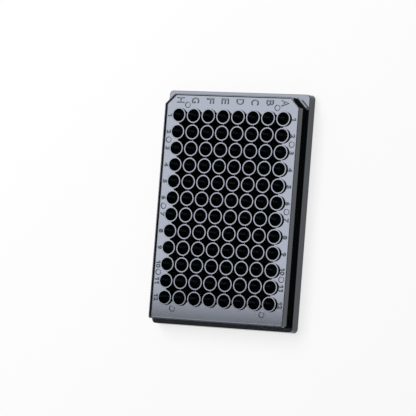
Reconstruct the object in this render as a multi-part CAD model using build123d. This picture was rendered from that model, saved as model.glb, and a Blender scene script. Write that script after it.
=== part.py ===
"""A black 96-well microplate, injection moulded in one piece, in millimetres.

It lies flat on its skirt. The origin is at the middle of the footprint, on the surface that the plate
stands on. +X runs along the rows from column 1 to column 12, +Y towards row A and +Z up, out of the
wells. The two corners at the column 1 end are cut off, which is how the plate is keyed.

The mould has two sides. The upper one forms the wells, the space between their free-standing tubes
and the deck inside the rim. The lower one hollows the skirt and the border round the well block.
"""

import os

from build123d import *

# Standard microplate footprint
footprint_length = 127.76
footprint_width = 85.48
plate_height = 14.35

# Skirt that a gripper or a nest takes hold of
skirt_height = 6.10
skirt_corner_radius = 2.5
skirt_edge_radius = 0.25
skirt_draft_deg = 3.0
skirt_wall = 1.6

# Upper body, set in from the skirt by a ledge, with a thin rim standing above the deck
body_length = 122.4
body_width = 80.7
key_corner_cut = 5.6
body_corner_radius = 1.0
body_wall = 1.6
body_draft_deg = 1.0
rim_height = 1.2
rim_width = 0.5
rim_edge_radius = 0.3

# Deck round the wells
deck_thickness = 1.5
deck_cove_radius = 0.4
deck_gap_length = 102.8
deck_gap_width = 62.8

# Wells, counted from A1 at the corner of column 1 and row A
columns = 12
rows = 8
pitch = 9.0
well_radius = 3.45
well_depth = 10.9
tube_radius = 4.08

# Web that closes the space between the tubes, and the ribs that tie each tube to the next
web_thickness = 1.0
block_wall = 1.2
rib_thickness = 0.25
rib_drop = 0.15

# Round witness marks of the ejector pins, sunk into the deck
pin_mark_radius = 1.5
pin_mark_depth = 0.15
end_pin_x = 55.3
end_pin_y = 27.0
side_pin_y = 37.1
side_pin_spacing = 36.0

# Heights worked out from the sizes above
deck_top = plate_height - rim_height
well_floor = plate_height - well_depth
web_underside = well_floor - web_thickness
ledge_underside = skirt_height - skirt_wall
deck_underside = deck_top - deck_thickness
rib_top = deck_top - rib_drop


def well_centres():
    """The middle of every well in plan."""
    return GridLocations(pitch, pitch, columns, rows)


def keyed_outline(length, width, corner_cut, corner_radius):
    """A rectangle whose two corners at -X are cut off at 45 degrees and whose two at +X are rounded."""
    x, y = length / 2, width / 2
    corners = [
        (x, -y),
        (x, y),
        (corner_cut - x, y),
        (-x, y - corner_cut),
        (-x, corner_cut - y),
        (corner_cut - x, -y),
    ]
    outline = make_face(Polyline(*corners, close=True))
    square_corners = outline.vertices().group_by(Axis.X)[-1]
    return fillet(square_corners, corner_radius)


def body_outline(inset):
    """The upper body's outline at its top, set in all round by an inset."""
    corner_cut = key_corner_cut - inset * (2 - 2**0.5)
    corner_radius = max(body_corner_radius - inset, 0.3)
    return keyed_outline(body_length - 2 * inset, body_width - 2 * inset, corner_cut, corner_radius)


def make_outside():
    """Skirt and upper body as one solid block, with drafted sides and rounded edges."""
    footprint = RectangleRounded(footprint_length, footprint_width, skirt_corner_radius)
    skirt = extrude(footprint, skirt_height, taper=skirt_draft_deg)
    ledge_edge = skirt.faces().sort_by(Axis.Z)[-1].edges()
    skirt = fillet(ledge_edge, skirt_edge_radius)
    body_top = Plane.XY.offset(plate_height) * body_outline(0)
    body = extrude(body_top, -(plate_height - skirt_height / 2), taper=-body_draft_deg)
    rim_edge = body.faces().sort_by(Axis.Z)[-1].edges()
    body = fillet(rim_edge, rim_edge_radius)
    return skirt + body


def make_lower_hollow(tube_circles):
    """What the lower mould side takes out: the skirt's inside, and the border round the well block."""
    inside_length = footprint_length - 2 * skirt_wall
    inside_width = footprint_width - 2 * skirt_wall
    skirt_inside = RectangleRounded(inside_length, inside_width, skirt_corner_radius - skirt_wall)
    hollow = extrude(skirt_inside, ledge_underside, taper=skirt_draft_deg)
    hollow += extrude(body_outline(body_wall), deck_underside)
    block_length = deck_gap_length + 2 * block_wall
    block_width = deck_gap_width + 2 * block_wall
    well_block = Rectangle(block_length, block_width) + tube_circles
    hollow -= extrude(Plane.XY.offset(web_underside) * well_block, plate_height)
    return hollow


def make_deck_pocket(tube_circles):
    """The space inside the rim, down to the deck, which meets the rim in a cove."""
    pocket = extrude(Plane.XY.offset(deck_top) * body_outline(rim_width), rim_height)
    deck_edge = pocket.faces().sort_by(Axis.Z)[0].edges()
    pocket = fillet(deck_edge, deck_cove_radius)
    return pocket - extrude(Plane.XY.offset(deck_top) * tube_circles, rim_height)


def make_tube_gap(tube_circles):
    """The space between the tubes, from the deck down to the web, with the ribs left standing in it."""
    gap = Rectangle(deck_gap_length, deck_gap_width) - tube_circles
    rib_length = (columns - 1) * pitch
    rib_width = (rows - 1) * pitch
    along_rows = [spot * Rectangle(rib_length, rib_thickness) for spot in GridLocations(0, pitch, 1, rows)]
    along_columns = [spot * Rectangle(rib_thickness, rib_width) for spot in GridLocations(pitch, 0, columns, 1)]
    ribbed_gap = gap - along_rows - along_columns
    hollow = extrude(Plane.XY.offset(well_floor) * ribbed_gap, rib_top - well_floor)
    return hollow + extrude(Plane.XY.offset(rib_top) * gap, rib_drop)


def make_wells():
    """The insides of all the wells, each with a flat floor."""
    well = Cylinder(well_radius, well_depth)
    middle_height = Pos(0, 0, well_floor + well_depth / 2)
    return [middle_height * place * well for place in well_centres()]


def make_pin_marks():
    """The shallow discs that the ejector pins leave in the deck, at both ends and along both sides."""
    disc = Cylinder(pin_mark_radius, 2 * pin_mark_depth)
    at_ends = GridLocations(2 * end_pin_x, 2 * end_pin_y, 2, 2)
    at_sides = GridLocations(side_pin_spacing, 2 * side_pin_y, 3, 2)
    return [Pos(0, 0, deck_top) * place * disc for place in [*at_ends, *at_sides]]


def make_plate():
    """The finished moulding."""
    tube_circles = Sketch() + [place * Circle(tube_radius) for place in well_centres()]
    plate = make_outside()
    plate -= make_lower_hollow(tube_circles)
    plate -= make_deck_pocket(tube_circles)
    plate -= make_tube_gap(tube_circles)
    plate -= make_wells()
    plate -= make_pin_marks()
    return plate


os.makedirs("parts", exist_ok=True)
export_step(make_plate(), "parts/well_plate.step")
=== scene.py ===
"""The looks of a black 96-well microplate, built round its solid model.

The plate lies flat on a pale floor: +X runs from column 1 to column 12, +Y towards row A and +Z up.
Lengths in this file are metres, and MM turns a drawing size into metres.
"""

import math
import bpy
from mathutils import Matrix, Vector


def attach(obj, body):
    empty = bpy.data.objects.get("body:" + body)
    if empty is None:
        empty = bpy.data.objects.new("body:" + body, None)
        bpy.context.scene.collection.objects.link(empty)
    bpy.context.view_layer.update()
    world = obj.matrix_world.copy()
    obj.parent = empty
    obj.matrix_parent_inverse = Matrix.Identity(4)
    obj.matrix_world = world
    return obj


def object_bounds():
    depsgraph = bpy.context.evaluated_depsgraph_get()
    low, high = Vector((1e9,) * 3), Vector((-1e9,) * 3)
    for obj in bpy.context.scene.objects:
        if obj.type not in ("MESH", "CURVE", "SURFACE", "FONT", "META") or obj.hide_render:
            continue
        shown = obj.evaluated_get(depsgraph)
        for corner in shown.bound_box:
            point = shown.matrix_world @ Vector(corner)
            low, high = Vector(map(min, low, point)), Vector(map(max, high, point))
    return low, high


bl_info = {
    "name": "Microplate Bench",
    "version": (1, 0, 0),
    "blender": (4, 5, 0),
    "location": "View3D > Sidebar > Microplate",
    "description": "Finish, raised marks and studio for a moulded 96-well microplate",
    "category": "Object",
}

import bmesh
import bpy
import numpy as np
from bpy.props import FloatProperty, FloatVectorProperty, PointerProperty
from mathutils import Matrix, Vector

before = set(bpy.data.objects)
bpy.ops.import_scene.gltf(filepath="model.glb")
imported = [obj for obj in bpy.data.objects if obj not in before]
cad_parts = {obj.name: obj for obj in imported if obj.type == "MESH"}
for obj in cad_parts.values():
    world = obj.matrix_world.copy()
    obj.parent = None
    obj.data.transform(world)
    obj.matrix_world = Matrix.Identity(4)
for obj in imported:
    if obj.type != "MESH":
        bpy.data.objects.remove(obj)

MM = 0.001
PLATE = "well_plate"
BODY = "root"

CAD_LOW, CAD_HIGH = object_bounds()
RIM_TOP = CAD_HIGH.z

# Sizes of the moulding, the same as in its solid model
COLUMNS = 12
ROW_NAMES = "ABCDEFGH"
PITCH = 9.0 * MM
DECK_DEPTH = 1.2 * MM
DECK_TOP = RIM_TOP - DECK_DEPTH
WELL_DEPTH = 10.9 * MM
WELL_FLOOR = RIM_TOP - WELL_DEPTH
LEDGE_TOP = 6.1 * MM
BODY_LENGTH = 122.4 * MM
BODY_WIDTH = 80.7 * MM
BODY_DRAFT = math.tan(math.radians(1.0))
KEY_CUT = 5.6 * MM
END_PIN_X = 55.3 * MM
END_PIN_Y = 27.0 * MM
SIDE_PIN_Y = 37.1 * MM
SIDE_PIN_STEP = 36.0 * MM

# Where the finish changes: from polished to satin between two heights just below the deck, and on the
# level faces that lie within the margin of a height
POLISHED_HEIGHT = RIM_TOP - 2 * DECK_DEPTH
SATIN_HEIGHT = RIM_TOP - 1.1 * DECK_DEPTH
LEVEL_MARGIN = 0.1 * MM

# Faint patches in the plastic's colour and roughness: how many to a metre, how much paler they get,
# and the range of the pattern that moves the roughness from its lowest to its highest share
PATCHES_PER_METRE = 35.0
PATCH_DETAIL = 3.0
PALEST_PATCH = 1.25
PATCH_RANGE = (0.3, 0.7)
ROUGHNESS_SHARES = (0.93, 1.07)

# Pits of the mould face, and the rays that find an edge to soften
GRAIN_DETAIL = 2.0
GRAIN_STRENGTH = 0.02
GRAIN_DEPTH = 0.02 * MM
EDGE_SAMPLES = 8

# Meshes of the pieces: edges sharper than the angle stay sharp, faces whose upward share is above
# LEVEL_FACE are level, and points closer than the seam gap are joined
SHARP_ANGLE = math.radians(35.0)
LEVEL_FACE = 0.99999
SEAM_GAP = 0.00001 * MM

# Raised letters and numbers: steps round their curves and their rounded edges, and how much of their
# relief is rounded
CURVE_STEPS = 6
ROUNDING_STEPS = 3
LETTER_ROUNDING = 0.8
NUMBER_ROUNDING = 0.5

# The figure 1, in shares of its height, and how many strokes thick its flag is where it meets the stroke
ONE_STROKE = 0.14
ONE_FLAG_REACH = 0.24
ONE_FLAG_DROP = 0.18
ONE_FLAG_STROKES = 1.2

# The soft edge round a pin mark: circles across it, points on each circle, and how many times the
# disc's depth its underside lies below the deck
PIN_CIRCLES = 13
PIN_POINTS = 48
PIN_BASE_DEPTHS = 1.5

# A corner cove: sections along it, points on each section's curve, how many times its width the curve
# runs, how far it is let into the ledge, how many times its width it reaches into the wall, and the
# share of its taper at which it starts
COVE_SECTIONS = 41
COVE_POINTS = 15
COVE_RUN = 1.04
COVE_SUNK = 0.01 * MM
COVE_ROOT = 0.2
COVE_TAPER_START = 0.02

# Soft boxes, from their lowest to their highest X and Y
KEY_BOX_X = (-0.35, 0.034)
KEY_BOX_Y = (-0.86, -0.35)
TOP_BOX_X = (-1.10, -0.35)
TOP_BOX_Y = (-0.86, -0.08)

# Camera, with a long lens (in millimetres, as its sensor is) and the column 1 end up
CAMERA_PLACE = Vector((80.31, 730.04, 1432.34)) * MM
CAMERA_AIM = Vector((0.10, -9.22, 14.35)) * MM
CAMERA_UPWARDS = Vector((-0.99568, -0.04633, 0.08048))
CAMERA_LENS = 257.93
CAMERA_SENSOR = 36.0
CAMERA_NEAREST = 0.1
CAMERA_FARTHEST = 20.0


def column_x(column):
    """Where a column's wells stand along X, with column 1 at the -X end."""
    return (column - (COLUMNS + 1) / 2) * PITCH


def row_y(row):
    """Where a row's wells stand along Y, with row A, which is row 1, at the +Y side."""
    return ((len(ROW_NAMES) + 1) / 2 - row) * PITCH


class PlateFinish(bpy.types.PropertyGroup):
    """Finish of the moulded plastic"""

    colour: FloatVectorProperty(
        name="Plastic colour",
        description="Body colour of the black polystyrene",
        subtype="COLOR",
        size=3,
        min=0.0,
        max=1.0,
        default=(0.0012, 0.0016, 0.002),
    )
    sheen_tint: FloatVectorProperty(
        name="Sheen tint",
        description="Cool tint of the light that the smooth faces throw back",
        subtype="COLOR",
        size=3,
        min=0.0,
        max=1.0,
        default=(0.79, 0.85, 1.0),
    )
    # Painted shade: the ledge's sheen is dimmed to this share of the deck's, though both are the same
    # plastic
    ledge_sheen: FloatProperty(
        name="Ledge sheen",
        description="How much of the sheen the ledge keeps, where the deck keeps all",
        subtype="FACTOR",
        min=0.0,
        max=1.0,
        default=0.83,
    )
    well_tint: FloatVectorProperty(
        name="Well tint",
        description="Tint of the light that the well floors and the web throw back",
        subtype="COLOR",
        size=3,
        min=0.0,
        max=1.0,
        default=(0.5, 1.0, 1.0),
    )
    roughness: FloatProperty(
        name="Deck roughness",
        description="Roughness of the satin faces at the top: the deck, the rim and the tube tops",
        subtype="FACTOR",
        min=0.0,
        max=1.0,
        default=0.1,
    )
    deep_roughness: FloatProperty(
        name="Wall roughness",
        description="Roughness of the polished faces below the deck: the wells, the tubes and the sides",
        subtype="FACTOR",
        min=0.0,
        max=1.0,
        default=0.04,
    )
    letter_roughness: FloatProperty(
        name="Letter roughness",
        description="Roughness of the raised letters",
        subtype="FACTOR",
        min=0.0,
        max=1.0,
        default=0.25,
    )
    number_roughness: FloatProperty(
        name="Number roughness",
        description="Roughness of the raised numbers, which the mould leaves more matt",
        subtype="FACTOR",
        min=0.0,
        max=1.0,
        default=0.38,
    )
    refractive_index: FloatProperty(
        name="Refractive index",
        description="Refractive index of polystyrene, which sets how strongly it mirrors",
        min=1.0,
        max=2.5,
        default=1.59,
    )
    edge_radius: FloatProperty(
        name="Edge radius",
        description="Radius of the moulded edges where the light catches them",
        subtype="DISTANCE",
        unit="LENGTH",
        min=0.0,
        default=0.1 * MM,
    )
    grain_size: FloatProperty(
        name="Grain size",
        description="Distance between the faint pits that the mould face leaves",
        subtype="DISTANCE",
        unit="LENGTH",
        min=0.01 * MM,
        default=0.35 * MM,
    )


class MarkSizes(bpy.types.PropertyGroup):
    """Letters, numbers and pin marks on the deck, and coves on the ledge"""

    letter_height: FloatProperty(
        name="Letter height",
        description="Height of the row letters, measured along Y",
        subtype="DISTANCE",
        unit="LENGTH",
        default=4.3 * MM,
    )
    letter_width: FloatProperty(
        name="Letter width",
        description="Width of every row letter, measured along X",
        subtype="DISTANCE",
        unit="LENGTH",
        default=3.1 * MM,
    )
    letter_x: FloatProperty(
        name="Letter place",
        description="Where the line of row letters stands along X",
        subtype="DISTANCE",
        unit="LENGTH",
        default=-57.8 * MM,
    )
    letter_a_stretch: FloatProperty(
        name="Letter A stretch",
        description="How many times wider than the other letters the A is",
        min=0.1,
        default=1.16,
    )
    letter_weight: FloatProperty(
        name="Letter weight",
        description="How much the letters' strokes are thickened on each side",
        subtype="DISTANCE",
        unit="LENGTH",
        default=0.08 * MM,
    )
    letter_relief: FloatProperty(
        name="Letter relief",
        description="How far the letters stand above the deck",
        subtype="DISTANCE",
        unit="LENGTH",
        default=0.3 * MM,
    )
    number_height: FloatProperty(
        name="Number height",
        description="Height of the column numbers, measured along Y",
        subtype="DISTANCE",
        unit="LENGTH",
        default=2.3 * MM,
    )
    number_stretch: FloatProperty(
        name="Number stretch",
        description="How many times wider than the plain typeface the column numbers are drawn",
        min=0.1,
        default=1.25,
    )
    figure_spacing: FloatProperty(
        name="Figure spacing",
        description="Distance between the middles of the two figures of a number",
        subtype="DISTANCE",
        unit="LENGTH",
        default=2.1 * MM,
    )
    number_shift: FloatProperty(
        name="Number shift",
        description="How far the numbers stand from the middle of their column, towards +X",
        subtype="DISTANCE",
        unit="LENGTH",
        default=0.1 * MM,
    )
    number_relief: FloatProperty(
        name="Number relief",
        description="How far the numbers stand above the deck",
        subtype="DISTANCE",
        unit="LENGTH",
        default=0.25 * MM,
    )
    number_weight: FloatProperty(
        name="Number weight",
        description="How much the numbers' strokes are thickened on each side",
        subtype="DISTANCE",
        unit="LENGTH",
        default=0.12 * MM,
    )
    number_y: FloatProperty(
        name="Number place",
        description="How far the two lines of column numbers stand from the middle, along Y",
        subtype="DISTANCE",
        unit="LENGTH",
        default=37.4 * MM,
    )
    cove_width: FloatProperty(
        name="Cove width",
        description="How far the cove at the foot of each cut wall reaches out over the ledge",
        subtype="DISTANCE",
        unit="LENGTH",
        default=1.5 * MM,
    )
    cove_height: FloatProperty(
        name="Cove height",
        description="How far the cove at the foot of each cut wall climbs up the wall",
        subtype="DISTANCE",
        unit="LENGTH",
        default=0.3 * MM,
    )
    cove_taper: FloatProperty(
        name="Cove taper",
        description="Share of the cut wall's length over which the cove grows from nothing, at each end",
        subtype="FACTOR",
        min=0.01,
        max=0.5,
        default=0.05,
    )
    pin_radius: FloatProperty(
        name="Pin radius",
        description="Radius of the sunk discs that the ejector pins leave",
        subtype="DISTANCE",
        unit="LENGTH",
        default=1.5 * MM,
    )
    pin_depth: FloatProperty(
        name="Pin depth",
        description="Depth of the sunk discs that the ejector pins leave",
        subtype="DISTANCE",
        unit="LENGTH",
        default=0.15 * MM,
    )
    pin_edge: FloatProperty(
        name="Pin edge",
        description="Half the width of the soft edge round each sunk disc",
        subtype="DISTANCE",
        unit="LENGTH",
        default=0.22 * MM,
    )
    pin_crest: FloatProperty(
        name="Pin crest",
        description="How far the edge of each sunk disc stands above the deck",
        subtype="DISTANCE",
        unit="LENGTH",
        default=0.05 * MM,
    )


class StudioSizes(bpy.types.PropertyGroup):
    """Floor, lamps and surroundings"""

    floor_half: FloatProperty(
        name="Floor half width",
        description="Half the width of the pale floor",
        subtype="DISTANCE",
        unit="LENGTH",
        default=4.0,
    )
    floor_colour: FloatVectorProperty(
        name="Floor colour",
        description="Colour of the pale floor",
        subtype="COLOR",
        size=3,
        min=0.0,
        max=1.0,
        default=(0.93, 0.93, 0.93),
    )
    floor_white: FloatProperty(
        name="Floor white",
        description="How bright the plain white is that the floor shows to the camera",
        subtype="FACTOR",
        min=0.0,
        max=1.0,
        default=0.98,
    )
    floor_share: FloatProperty(
        name="Floor share",
        description="How much of the floor's look is plain white, where the rest is lit paper",
        subtype="FACTOR",
        min=0.0,
        max=1.0,
        default=0.75,
    )
    lamp_height: FloatProperty(
        name="Lamp height",
        description="Height of the soft boxes above the floor",
        subtype="DISTANCE",
        unit="LENGTH",
        default=1.2,
    )
    key_brightness: FloatProperty(
        name="Key brightness",
        description="Brightness of the key soft box's face, where white paper in plain light is 1",
        min=0.0,
        default=10.0,
    )
    top_brightness: FloatProperty(
        name="Top brightness",
        description="Brightness of the face of the soft box beyond the column 1 end",
        min=0.0,
        default=8.0,
    )
    room_brightness: FloatProperty(
        name="Room brightness",
        description="Brightness of the surroundings",
        min=0.0,
        default=0.3,
    )


def new_material(name):
    """An empty node material, with its node tree and its output node."""
    material = bpy.data.materials.new(name)
    material.use_nodes = True
    tree = material.node_tree
    tree.nodes.clear()
    output = tree.nodes.new("ShaderNodeOutputMaterial")
    return material, tree, output


def cloudy_pattern(tree, place, scale, detail):
    """A cloudy pattern from 0 to 1, which lies still on the object."""
    pattern = tree.nodes.new("ShaderNodeTexNoise")
    pattern.inputs["Scale"].default_value = scale
    pattern.inputs["Detail"].default_value = detail
    tree.links.new(place, pattern.inputs["Vector"])
    return pattern.outputs["Fac"]


def upward_part(tree, vector):
    """The Z part of a vector."""
    parts = tree.nodes.new("ShaderNodeSeparateXYZ")
    tree.links.new(vector, parts.inputs["Vector"])
    return parts.outputs["Z"]


def stretched_range(tree, value, old_range, new_range):
    """A value moved from an old range to a new one, and held at the new one's ends outside it."""
    stretch = tree.nodes.new("ShaderNodeMapRange")
    stretch.inputs["From Min"].default_value = old_range[0]
    stretch.inputs["From Max"].default_value = old_range[1]
    stretch.inputs["To Min"].default_value = new_range[0]
    stretch.inputs["To Max"].default_value = new_range[1]
    tree.links.new(value, stretch.inputs["Value"])
    return stretch.outputs["Result"]


def product(tree, first, second):
    """Two values multiplied, and held between 0 and 1."""
    multiply = tree.nodes.new("ShaderNodeMath")
    multiply.operation = "MULTIPLY"
    multiply.use_clamp = True
    tree.links.new(first, multiply.inputs[0])
    tree.links.new(second, multiply.inputs[1])
    return multiply.outputs["Value"]


def level_share(tree, height, slope, level):
    """A value that is 1 on the level faces at one height and 0 elsewhere."""
    near = tree.nodes.new("ShaderNodeMath")
    near.operation = "COMPARE"
    near.inputs[1].default_value = level
    near.inputs[2].default_value = LEVEL_MARGIN
    tree.links.new(height, near.inputs[0])
    return product(tree, near.outputs["Value"], slope)


def mix_colours(tree, first, second, share):
    """A mix of two colours, where a share of 1 gives the second. The first is a plain colour or the
    output of another mix."""
    mix = tree.nodes.new("ShaderNodeMix")
    mix.data_type = "RGBA"
    if isinstance(first, bpy.types.NodeSocket):
        tree.links.new(first, mix.inputs["A"])
    else:
        mix.inputs["A"].default_value = (*first, 1.0)
    mix.inputs["B"].default_value = (*second, 1.0)
    tree.links.new(share, mix.inputs["Factor"])
    return mix.outputs["Result"]


def make_tint(tree, finish, height, slope):
    """The tint of the light that a face throws back: the sheen tint, which a painted shade dims on the
    ledge, and the well tint on the floors of the wells and on the web."""
    ledge_shade_mask = level_share(tree, height, slope, LEDGE_TOP)
    at_floor = level_share(tree, height, slope, WELL_FLOOR)
    # Painted shade: the ledge throws back less of the sheen than the deck of the same plastic
    painted_shade_ledge_tint = [finish.ledge_sheen * part for part in finish.sheen_tint]
    above = mix_colours(tree, finish.sheen_tint, painted_shade_ledge_tint, ledge_shade_mask)
    return mix_colours(tree, above, finish.well_tint, at_floor)


def make_roughness(tree, finish, roughness, height, patches):
    """The roughness asked for from the deck up, and the wall roughness below the deck, where the mould
    is polished. The patches move both up and down by a few percent."""
    heights = (POLISHED_HEIGHT, SATIN_HEIGHT)
    polish = stretched_range(tree, height, heights, (finish.deep_roughness, roughness))
    wear = stretched_range(tree, patches, PATCH_RANGE, ROUGHNESS_SHARES)
    return product(tree, polish, wear)


def make_normal(tree, grain, edge_radius):
    """The surface direction, with the faint pits of the mould face and, where an edge radius is asked
    for, with softened edges."""
    bump = tree.nodes.new("ShaderNodeBump")
    bump.inputs["Strength"].default_value = GRAIN_STRENGTH
    bump.inputs["Distance"].default_value = GRAIN_DEPTH
    tree.links.new(grain, bump.inputs["Height"])
    if edge_radius > 0:
        edge = tree.nodes.new("ShaderNodeBevel")
        edge.samples = EDGE_SAMPLES
        edge.inputs["Radius"].default_value = edge_radius
        tree.links.new(edge.outputs["Normal"], bump.inputs["Normal"])
    return bump.outputs["Normal"]


def make_plastic(name, finish, roughness, edge_radius):
    """Moulded black polystyrene, which is black underneath and smooth enough to mirror."""
    material, tree, output = new_material(name)
    shader = tree.nodes.new("ShaderNodeBsdfPrincipled")
    shader.inputs["IOR"].default_value = finish.refractive_index
    tree.links.new(shader.outputs["BSDF"], output.inputs["Surface"])

    coordinates = tree.nodes.new("ShaderNodeTexCoord")
    place = coordinates.outputs["Object"]
    height = upward_part(tree, place)
    slope = upward_part(tree, coordinates.outputs["Normal"])
    patches = cloudy_pattern(tree, place, PATCHES_PER_METRE, PATCH_DETAIL)
    grain = cloudy_pattern(tree, place, 1.0 / finish.grain_size, GRAIN_DETAIL)

    paler = [PALEST_PATCH * part for part in finish.colour]
    colour = mix_colours(tree, finish.colour, paler, patches)
    tint = make_tint(tree, finish, height, slope)
    satin = make_roughness(tree, finish, roughness, height, patches)
    normal = make_normal(tree, grain, edge_radius)
    tree.links.new(colour, shader.inputs["Base Color"])
    tree.links.new(tint, shader.inputs["Specular Tint"])
    tree.links.new(satin, shader.inputs["Roughness"])
    tree.links.new(normal, shader.inputs["Normal"])
    return material


def curve_mesh(curve):
    """The vertices and faces of a curve or text, with its seams closed. The curve itself is deleted."""
    holder = bpy.data.objects.new("mark", curve)
    bpy.context.scene.collection.objects.link(holder)
    graph = bpy.context.evaluated_depsgraph_get()
    graph.update()
    mesh = bpy.data.meshes.new_from_object(holder.evaluated_get(graph))
    joined = bmesh.new()
    joined.from_mesh(mesh)
    bmesh.ops.remove_doubles(joined, verts=joined.verts, dist=SEAM_GAP)
    joined.to_mesh(mesh)
    joined.free()
    points = np.zeros(3 * len(mesh.vertices))
    mesh.vertices.foreach_get("co", points)
    faces = [tuple(polygon.vertices) for polygon in mesh.polygons]
    bpy.data.objects.remove(holder)
    bpy.data.meshes.remove(mesh)
    bpy.data.curves.remove(curve)
    return points.reshape(-1, 3), faces


def raised_mark(curve, relief, rounding, weight):
    """The vertices and faces of a flat curve raised into a mark with round edges. Its middle is at
    x = 0 and y = 0 and its top at z = 0. Rounding widens the strokes, so they are drawn that much
    thinner first, and what the weight adds is all that they gain."""
    curve.extrude = relief / 2
    curve.bevel_depth = rounding
    curve.bevel_resolution = ROUNDING_STEPS
    curve.offset = weight - rounding
    curve.resolution_u = CURVE_STEPS
    points, faces = curve_mesh(curve)
    low, high = points.min(0), points.max(0)
    points -= [(low[0] + high[0]) / 2, (low[1] + high[1]) / 2, high[2]]
    return points, faces


def typed_curve(text, height):
    """A letter or figure of the plain typeface, as tall as asked."""
    curve = bpy.data.curves.new("mark", "FONT")
    curve.body = text
    curve.size = 1.0
    measured = bpy.data.objects.new("mark", curve)
    bpy.context.scene.collection.objects.link(measured)
    bpy.context.view_layer.update()
    curve.size = height / measured.dimensions.y
    bpy.data.objects.remove(measured)
    return curve


def figure_one_curve(height):
    """The figure 1 as an upright stroke with a short slanting flag at its top left."""
    stroke = ONE_STROKE * height
    reach = ONE_FLAG_REACH * height
    drop = ONE_FLAG_DROP * height
    outline = [
        (0, 0),
        (stroke, 0),
        (stroke, height),
        (0, height),
        (-reach, height - drop),
        (-reach, height - drop - stroke),
        (0, height - ONE_FLAG_STROKES * stroke),
    ]
    curve = bpy.data.curves.new("mark", "CURVE")
    curve.dimensions = "2D"
    curve.fill_mode = "BOTH"
    spline = curve.splines.new("POLY")
    spline.points.add(len(outline) - 1)
    for point, (x, y) in zip(spline.points, outline):
        point.co = (x, y, 0.0, 1.0)
    spline.use_cyclic_u = True
    return curve


def draw_to_width(points, width):
    """Stretch or squeeze points along X, about their middle, until they are as wide as asked."""
    low, high = points[:, 0].min(), points[:, 0].max()
    points[:, 0] = (points[:, 0] - (low + high) / 2) * width / (high - low)


def grid_shape(points):
    """The vertices and faces of a grid of points that closes on itself both ways."""
    index = np.arange(points.shape[0] * points.shape[1]).reshape(points.shape[:2])
    ahead, above = np.roll(index, -1, axis=0), np.roll(index, -1, axis=1)
    corner = np.roll(ahead, -1, axis=1)
    faces = np.stack([index, ahead, corner, above], axis=2).reshape(-1, 4)
    return points.reshape(-1, 3), [tuple(face) for face in faces.tolist()]


def pin_edge_ring(marks):
    """The vertices and faces of the soft edge round one sunk disc, centred on the origin with the deck
    at z = 0. Across the edge, s runs from -1 inside to 1 outside, and the radius is the disc's radius
    plus s times the edge's half width. The height is a crest, the squared cosine of s times a quarter
    turn, less a smooth step of the disc's depth on the inner side. Two more circles close it below."""
    across = np.linspace(-1.0, 1.0, PIN_CIRCLES)
    inward = np.clip(-across, 0.0, 1.0)
    radius = marks.pin_radius + marks.pin_edge * across
    height = marks.pin_crest * np.cos(across * np.pi / 2) ** 2
    height -= marks.pin_depth * inward**2 * (3 - 2 * inward)
    base = -PIN_BASE_DEPTHS * marks.pin_depth
    radius = np.append(radius, [radius[-1], radius[0]])
    height = np.append(height, [base, base])
    turn = np.linspace(0.0, 2 * np.pi, PIN_POINTS, endpoint=False)
    circle = np.stack([np.cos(turn), np.sin(turn)], axis=1)
    flat = circle[:, None, :] * radius[None, :, None]
    level = np.broadcast_to(height[None, :, None], flat.shape[:2] + (1,))
    # Circles in order from the outside in give faces that point outwards
    return grid_shape(np.concatenate([flat, level], axis=2)[:, ::-1])


def cove_section(marks):
    """How far out and how high each point of the cove's section lies. Its curve falls from the wall as
    a parabola: the way out is the cove's width times s, and the height is the cove's height times the
    square of 1 - s, with s from 0 to just over 1. Two more points inside the moulding close it."""
    across = np.linspace(0.0, COVE_RUN, COVE_POINTS)
    out = np.append(marks.cove_width * across, [marks.cove_width, -COVE_ROOT * marks.cove_width])
    rise = marks.cove_height * (1 - across) ** 2 - COVE_SUNK
    rise = np.append(rise, [-marks.cove_height, -marks.cove_height])
    return out, rise


def key_corner_cove(marks, side):
    """The vertices and faces of the cove at the foot of one cut wall, on the +Y or the -Y side, with
    the ledge at z = 0. The cove's section is carried along the wall's foot, and shrinks to nearly
    nothing towards the wall's two ends, as a quarter of a sine. A flat face closes each end."""
    outset = (RIM_TOP - LEDGE_TOP) * BODY_DRAFT
    x, y = BODY_LENGTH / 2 + outset, BODY_WIDTH / 2 + outset
    cut = KEY_CUT + outset * (2 - math.sqrt(2.0))
    along = np.linspace(0.0, 1.0, COVE_SECTIONS)
    from_end = np.minimum(along, 1 - along) / marks.cove_taper
    taper = np.sin(np.clip(from_end, COVE_TAPER_START, 1.0) * np.pi / 2)
    out, rise = cove_section(marks)
    foot = np.stack([cut * along - x, y - cut * (1 - along)], axis=1)
    away = np.array([-1.0, 1.0]) / math.sqrt(2.0)
    flat = foot[:, None, :] + (taper[:, None] * out[None, :])[:, :, None] * away
    level = (taper[:, None] * rise[None, :])[:, :, None]
    points = np.concatenate([flat, level], axis=2)
    points[:, :, 1] *= side
    # The mirrored cove would be inside out, so its sections are taken in the other order
    if side < 0:
        points = points[::-1]
    rings, spots = points.shape[:2]
    points, faces = grid_shape(points)
    wrapped = (rings - 1) * spots
    faces = faces[:wrapped]
    faces.append(tuple(range(spots)))
    faces.append(tuple(range(wrapped, wrapped + spots))[::-1])
    return points, faces


def make_marks(name, shapes, places, height, material):
    """One object of many shapes, each moved to its place and up to the asked height. Level faces are
    flat, and the others are smooth up to the sharp angle."""
    all_points, all_faces, count = [], [], 0
    for (points, faces), (x, y) in zip(shapes, places):
        all_points.append(points + [x, y, height])
        all_faces += [tuple(index + count for index in face) for face in faces]
        count += len(points)
    mesh = bpy.data.meshes.new(name)
    mesh.from_pydata(np.concatenate(all_points), [], all_faces)
    mesh.validate()
    normals = np.zeros(3 * len(mesh.polygons))
    mesh.polygons.foreach_get("normal", normals)
    mesh.polygons.foreach_set("use_smooth", np.abs(normals[2::3]) < LEVEL_FACE)
    mesh.set_sharp_from_angle(angle=SHARP_ANGLE)
    mesh.materials.append(material)
    piece = bpy.data.objects.new(name, mesh)
    bpy.context.scene.collection.objects.link(piece)
    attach(piece, BODY)


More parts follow.
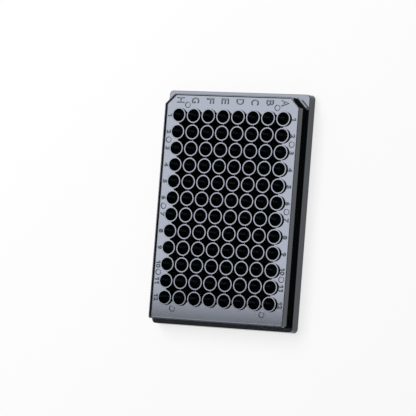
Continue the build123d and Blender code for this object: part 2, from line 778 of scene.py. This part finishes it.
class MICROPLATE_OT_finish_moulding(bpy.types.Operator):
    """Give the moulded plate its black polystyrene finish"""

    bl_idname = "microplate.finish_moulding"
    bl_label = "Finish Moulding"

    def execute(self, context):
        finish = context.scene.plate_finish
        plastic = make_plastic("black_polystyrene", finish, finish.roughness, finish.edge_radius)
        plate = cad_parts[PLATE]
        plate.data.materials.clear()
        plate.data.materials.append(plastic)
        return {"FINISHED"}


class MICROPLATE_OT_lay_cove(bpy.types.Operator):
    """Lay the coves at the foot of the two cut walls, where they rise from the ledge"""

    bl_idname = "microplate.lay_cove"
    bl_label = "Lay Corner Coves"

    def execute(self, context):
        finish = context.scene.plate_finish
        plastic = make_plastic("ledge_cove", finish, finish.roughness, 0.0)
        marks = context.scene.mark_sizes
        coves = [key_corner_cove(marks, side) for side in (-1, 1)]
        make_marks("ledge_cove", coves, [(0.0, 0.0)] * len(coves), LEDGE_TOP, plastic)
        return {"FINISHED"}


class MICROPLATE_OT_raise_letters(bpy.types.Operator):
    """Raise the row letters A to H at the column 1 end of the deck"""

    bl_idname = "microplate.raise_letters"
    bl_label = "Raise Row Letters"

    def execute(self, context):
        finish = context.scene.plate_finish
        marks = context.scene.mark_sizes
        satin = make_plastic("satin_letters", finish, finish.letter_roughness, 0.0)
        places = [(marks.letter_x, row_y(row)) for row in range(1, len(ROW_NAMES) + 1)]
        rounding = LETTER_ROUNDING * marks.letter_relief
        shapes = []
        for name in ROW_NAMES:
            curve = typed_curve(name, marks.letter_height)
            points, faces = raised_mark(curve, marks.letter_relief, rounding, marks.letter_weight)
            width = marks.letter_width
            if name == "A":
                width *= marks.letter_a_stretch
            draw_to_width(points, width)
            shapes.append((points, faces))
        make_marks("row_letters", shapes, places, DECK_TOP + marks.letter_relief, satin)
        return {"FINISHED"}


class MICROPLATE_OT_raise_numbers(bpy.types.Operator):
    """Raise the column numbers 1 to 12 along both sides of the deck"""

    bl_idname = "microplate.raise_numbers"
    bl_label = "Raise Column Numbers"

    def execute(self, context):
        finish = context.scene.plate_finish
        marks = context.scene.mark_sizes
        matt = make_plastic("matt_numbers", finish, finish.number_roughness, 0.0)
        rounding = NUMBER_ROUNDING * marks.number_relief
        figures = {}
        for figure in "0123456789":
            if figure == "1":
                curve = figure_one_curve(marks.number_height)
            else:
                curve = typed_curve(figure, marks.number_height)
            points, faces = raised_mark(curve, marks.number_relief, rounding, marks.number_weight)
            points[:, 0] *= marks.number_stretch
            figures[figure] = (points, faces)
        shapes, places = [], []
        for side in (-1, 1):
            for column in range(1, COLUMNS + 1):
                text = str(column)
                for place, figure in enumerate(text):
                    shift = (place - (len(text) - 1) / 2) * marks.figure_spacing
                    shapes.append(figures[figure])
                    places.append((column_x(column) + marks.number_shift + shift, side * marks.number_y))
        make_marks("column_numbers", shapes, places, DECK_TOP + marks.number_relief, matt)
        return {"FINISHED"}


class MICROPLATE_OT_edge_pin_marks(bpy.types.Operator):
    """Lay the soft edges round the sunk discs that the ejector pins leave in the deck"""

    bl_idname = "microplate.edge_pin_marks"
    bl_label = "Edge Pin Marks"

    def execute(self, context):
        finish = context.scene.plate_finish
        marks = context.scene.mark_sizes
        plastic = make_plastic("pin_mark_edges", finish, finish.roughness, 0.0)
        at_ends = [(x, y) for x in (-END_PIN_X, END_PIN_X) for y in (-END_PIN_Y, END_PIN_Y)]
        along = (-SIDE_PIN_STEP, 0.0, SIDE_PIN_STEP)
        at_sides = [(x, y) for x in along for y in (-SIDE_PIN_Y, SIDE_PIN_Y)]
        places = at_ends + at_sides
        rings = [pin_edge_ring(marks)] * len(places)
        make_marks("pin_mark_edges", rings, places, DECK_TOP, plastic)
        return {"FINISHED"}


def make_pale_floor(studio):
    """Matt paper lit by the lamps, which the camera sees mixed with plain white, as mirroring and clear
    faces do, so that the background stays pale and even while the object's shadow still shows."""
    material, tree, output = new_material("pale_floor")
    nodes, links = tree.nodes, tree.links
    paper = nodes.new("ShaderNodeBsdfDiffuse")
    paper.inputs["Color"].default_value = (*studio.floor_colour, 1.0)
    white = nodes.new("ShaderNodeEmission")
    white.inputs["Strength"].default_value = studio.floor_white
    path = nodes.new("ShaderNodeLightPath")
    seen = path.outputs["Is Camera Ray"]
    for kind in ("Is Glossy Ray", "Is Transmission Ray"):
        either = nodes.new("ShaderNodeMath")
        either.operation = "MAXIMUM"
        links.new(seen, either.inputs[0])
        links.new(path.outputs[kind], either.inputs[1])
        seen = either.outputs["Value"]
    share = nodes.new("ShaderNodeMath")
    share.operation = "MULTIPLY"
    share.inputs[1].default_value = studio.floor_share
    links.new(seen, share.inputs[0])
    mix = nodes.new("ShaderNodeMixShader")
    links.new(share.outputs["Value"], mix.inputs["Fac"])
    links.new(paper.outputs["BSDF"], mix.inputs[1])
    links.new(white.outputs["Emission"], mix.inputs[2])
    links.new(mix.outputs["Shader"], output.inputs["Surface"])
    return material


def lay_floor(studio):
    """Lay the pale floor level at the foot of the plate, as one square face."""
    half = studio.floor_half
    corners = [(-half, -half, 0), (half, -half, 0), (half, half, 0), (-half, half, 0)]
    mesh = bpy.data.meshes.new("floor")
    mesh.from_pydata(corners, [], [(0, 1, 2, 3)])
    mesh.materials.append(make_pale_floor(studio))
    floor = bpy.data.objects.new("floor", mesh)
    bpy.context.scene.collection.objects.link(floor)


def hang_soft_box(name, range_x, range_y, height, brightness):
    """Hang a level soft box that shines straight down. Its face is as bright as asked, because a lamp's
    watts are its brightness times pi times its area."""
    lamp = bpy.data.lights.new(name, "AREA")
    lamp.shape = "RECTANGLE"
    lamp.size = range_x[1] - range_x[0]
    lamp.size_y = range_y[1] - range_y[0]
    lamp.energy = brightness * math.pi * lamp.size * lamp.size_y
    stand = bpy.data.objects.new(name, lamp)
    stand.location = (sum(range_x) / 2, sum(range_y) / 2, height)
    bpy.context.scene.collection.objects.link(stand)


def light_room(studio):
    """Surround the scene with plain white light."""
    world = bpy.data.worlds.new("room")
    world.use_nodes = True
    room = world.node_tree.nodes["Background"]
    room.inputs["Color"].default_value = (1.0, 1.0, 1.0, 1.0)
    room.inputs["Strength"].default_value = studio.room_brightness
    bpy.context.scene.world = world


def place_camera():
    """Aim a long lens down on the plate, so that the column 1 end is up."""
    back = (CAMERA_PLACE - CAMERA_AIM).normalized()
    right = CAMERA_UPWARDS.cross(back).normalized()
    up = back.cross(right)
    lens = bpy.data.cameras.new("camera")
    lens.sensor_width = CAMERA_SENSOR
    lens.lens = CAMERA_LENS
    lens.clip_start = CAMERA_NEAREST
    lens.clip_end = CAMERA_FARTHEST
    camera = bpy.data.objects.new("camera", lens)
    turn = Matrix((right, up, back)).transposed().to_4x4()
    camera.matrix_world = Matrix.Translation(CAMERA_PLACE) @ turn
    bpy.context.scene.collection.objects.link(camera)
    bpy.context.scene.camera = camera


class MICROPLATE_OT_set_studio(bpy.types.Operator):
    """Lay the pale floor and set the lamps, the surroundings and the camera"""

    bl_idname = "microplate.set_studio"
    bl_label = "Set Studio"

    def execute(self, context):
        studio = context.scene.studio_sizes
        lay_floor(studio)
        height = studio.lamp_height
        hang_soft_box("key_soft_box", KEY_BOX_X, KEY_BOX_Y, height, studio.key_brightness)
        hang_soft_box("top_soft_box", TOP_BOX_X, TOP_BOX_Y, height, studio.top_brightness)
        light_room(studio)
        place_camera()
        context.scene.view_settings.view_transform = "Standard"
        return {"FINISHED"}


class MICROPLATE_PT_bench(bpy.types.Panel):
    """Steps and sizes of the microplate scene"""

    bl_label = "Microplate"
    bl_space_type = "VIEW_3D"
    bl_region_type = "UI"
    bl_category = "Microplate"

    def draw(self, context):
        for step in STEPS:
            self.layout.operator(step.bl_idname)
        for name, group in GROUPS.items():
            sizes = getattr(context.scene, name)
            box = self.layout.box()
            box.label(text=group.__doc__)
            for size in group.__annotations__:
                box.prop(sizes, size)


STEPS = (
    MICROPLATE_OT_finish_moulding,
    MICROPLATE_OT_lay_cove,
    MICROPLATE_OT_raise_letters,
    MICROPLATE_OT_raise_numbers,
    MICROPLATE_OT_edge_pin_marks,
    MICROPLATE_OT_set_studio,
)
GROUPS = {"plate_finish": PlateFinish, "mark_sizes": MarkSizes, "studio_sizes": StudioSizes}


def register():
    """Register the sizes, the steps and the panel with Blender."""
    for group in GROUPS.values():
        bpy.utils.register_class(group)
    for name, group in GROUPS.items():
        setattr(bpy.types.Scene, name, PointerProperty(type=group))
    for step in STEPS:
        bpy.utils.register_class(step)
    bpy.utils.register_class(MICROPLATE_PT_bench)


def unregister():
    """Take away what register added, in the opposite order."""
    bpy.utils.unregister_class(MICROPLATE_PT_bench)
    for step in reversed(STEPS):
        bpy.utils.unregister_class(step)
    for name in reversed(GROUPS):
        delattr(bpy.types.Scene, name)
    for group in reversed(GROUPS.values()):
        bpy.utils.unregister_class(group)


def main():
    """Dress the plate step by step."""
    register()
    bpy.ops.microplate.finish_moulding()
    bpy.ops.microplate.lay_cove()
    bpy.ops.microplate.raise_letters()
    bpy.ops.microplate.raise_numbers()
    bpy.ops.microplate.edge_pin_marks()
    bpy.ops.microplate.set_studio()


if __name__ == "__main__":
    main()
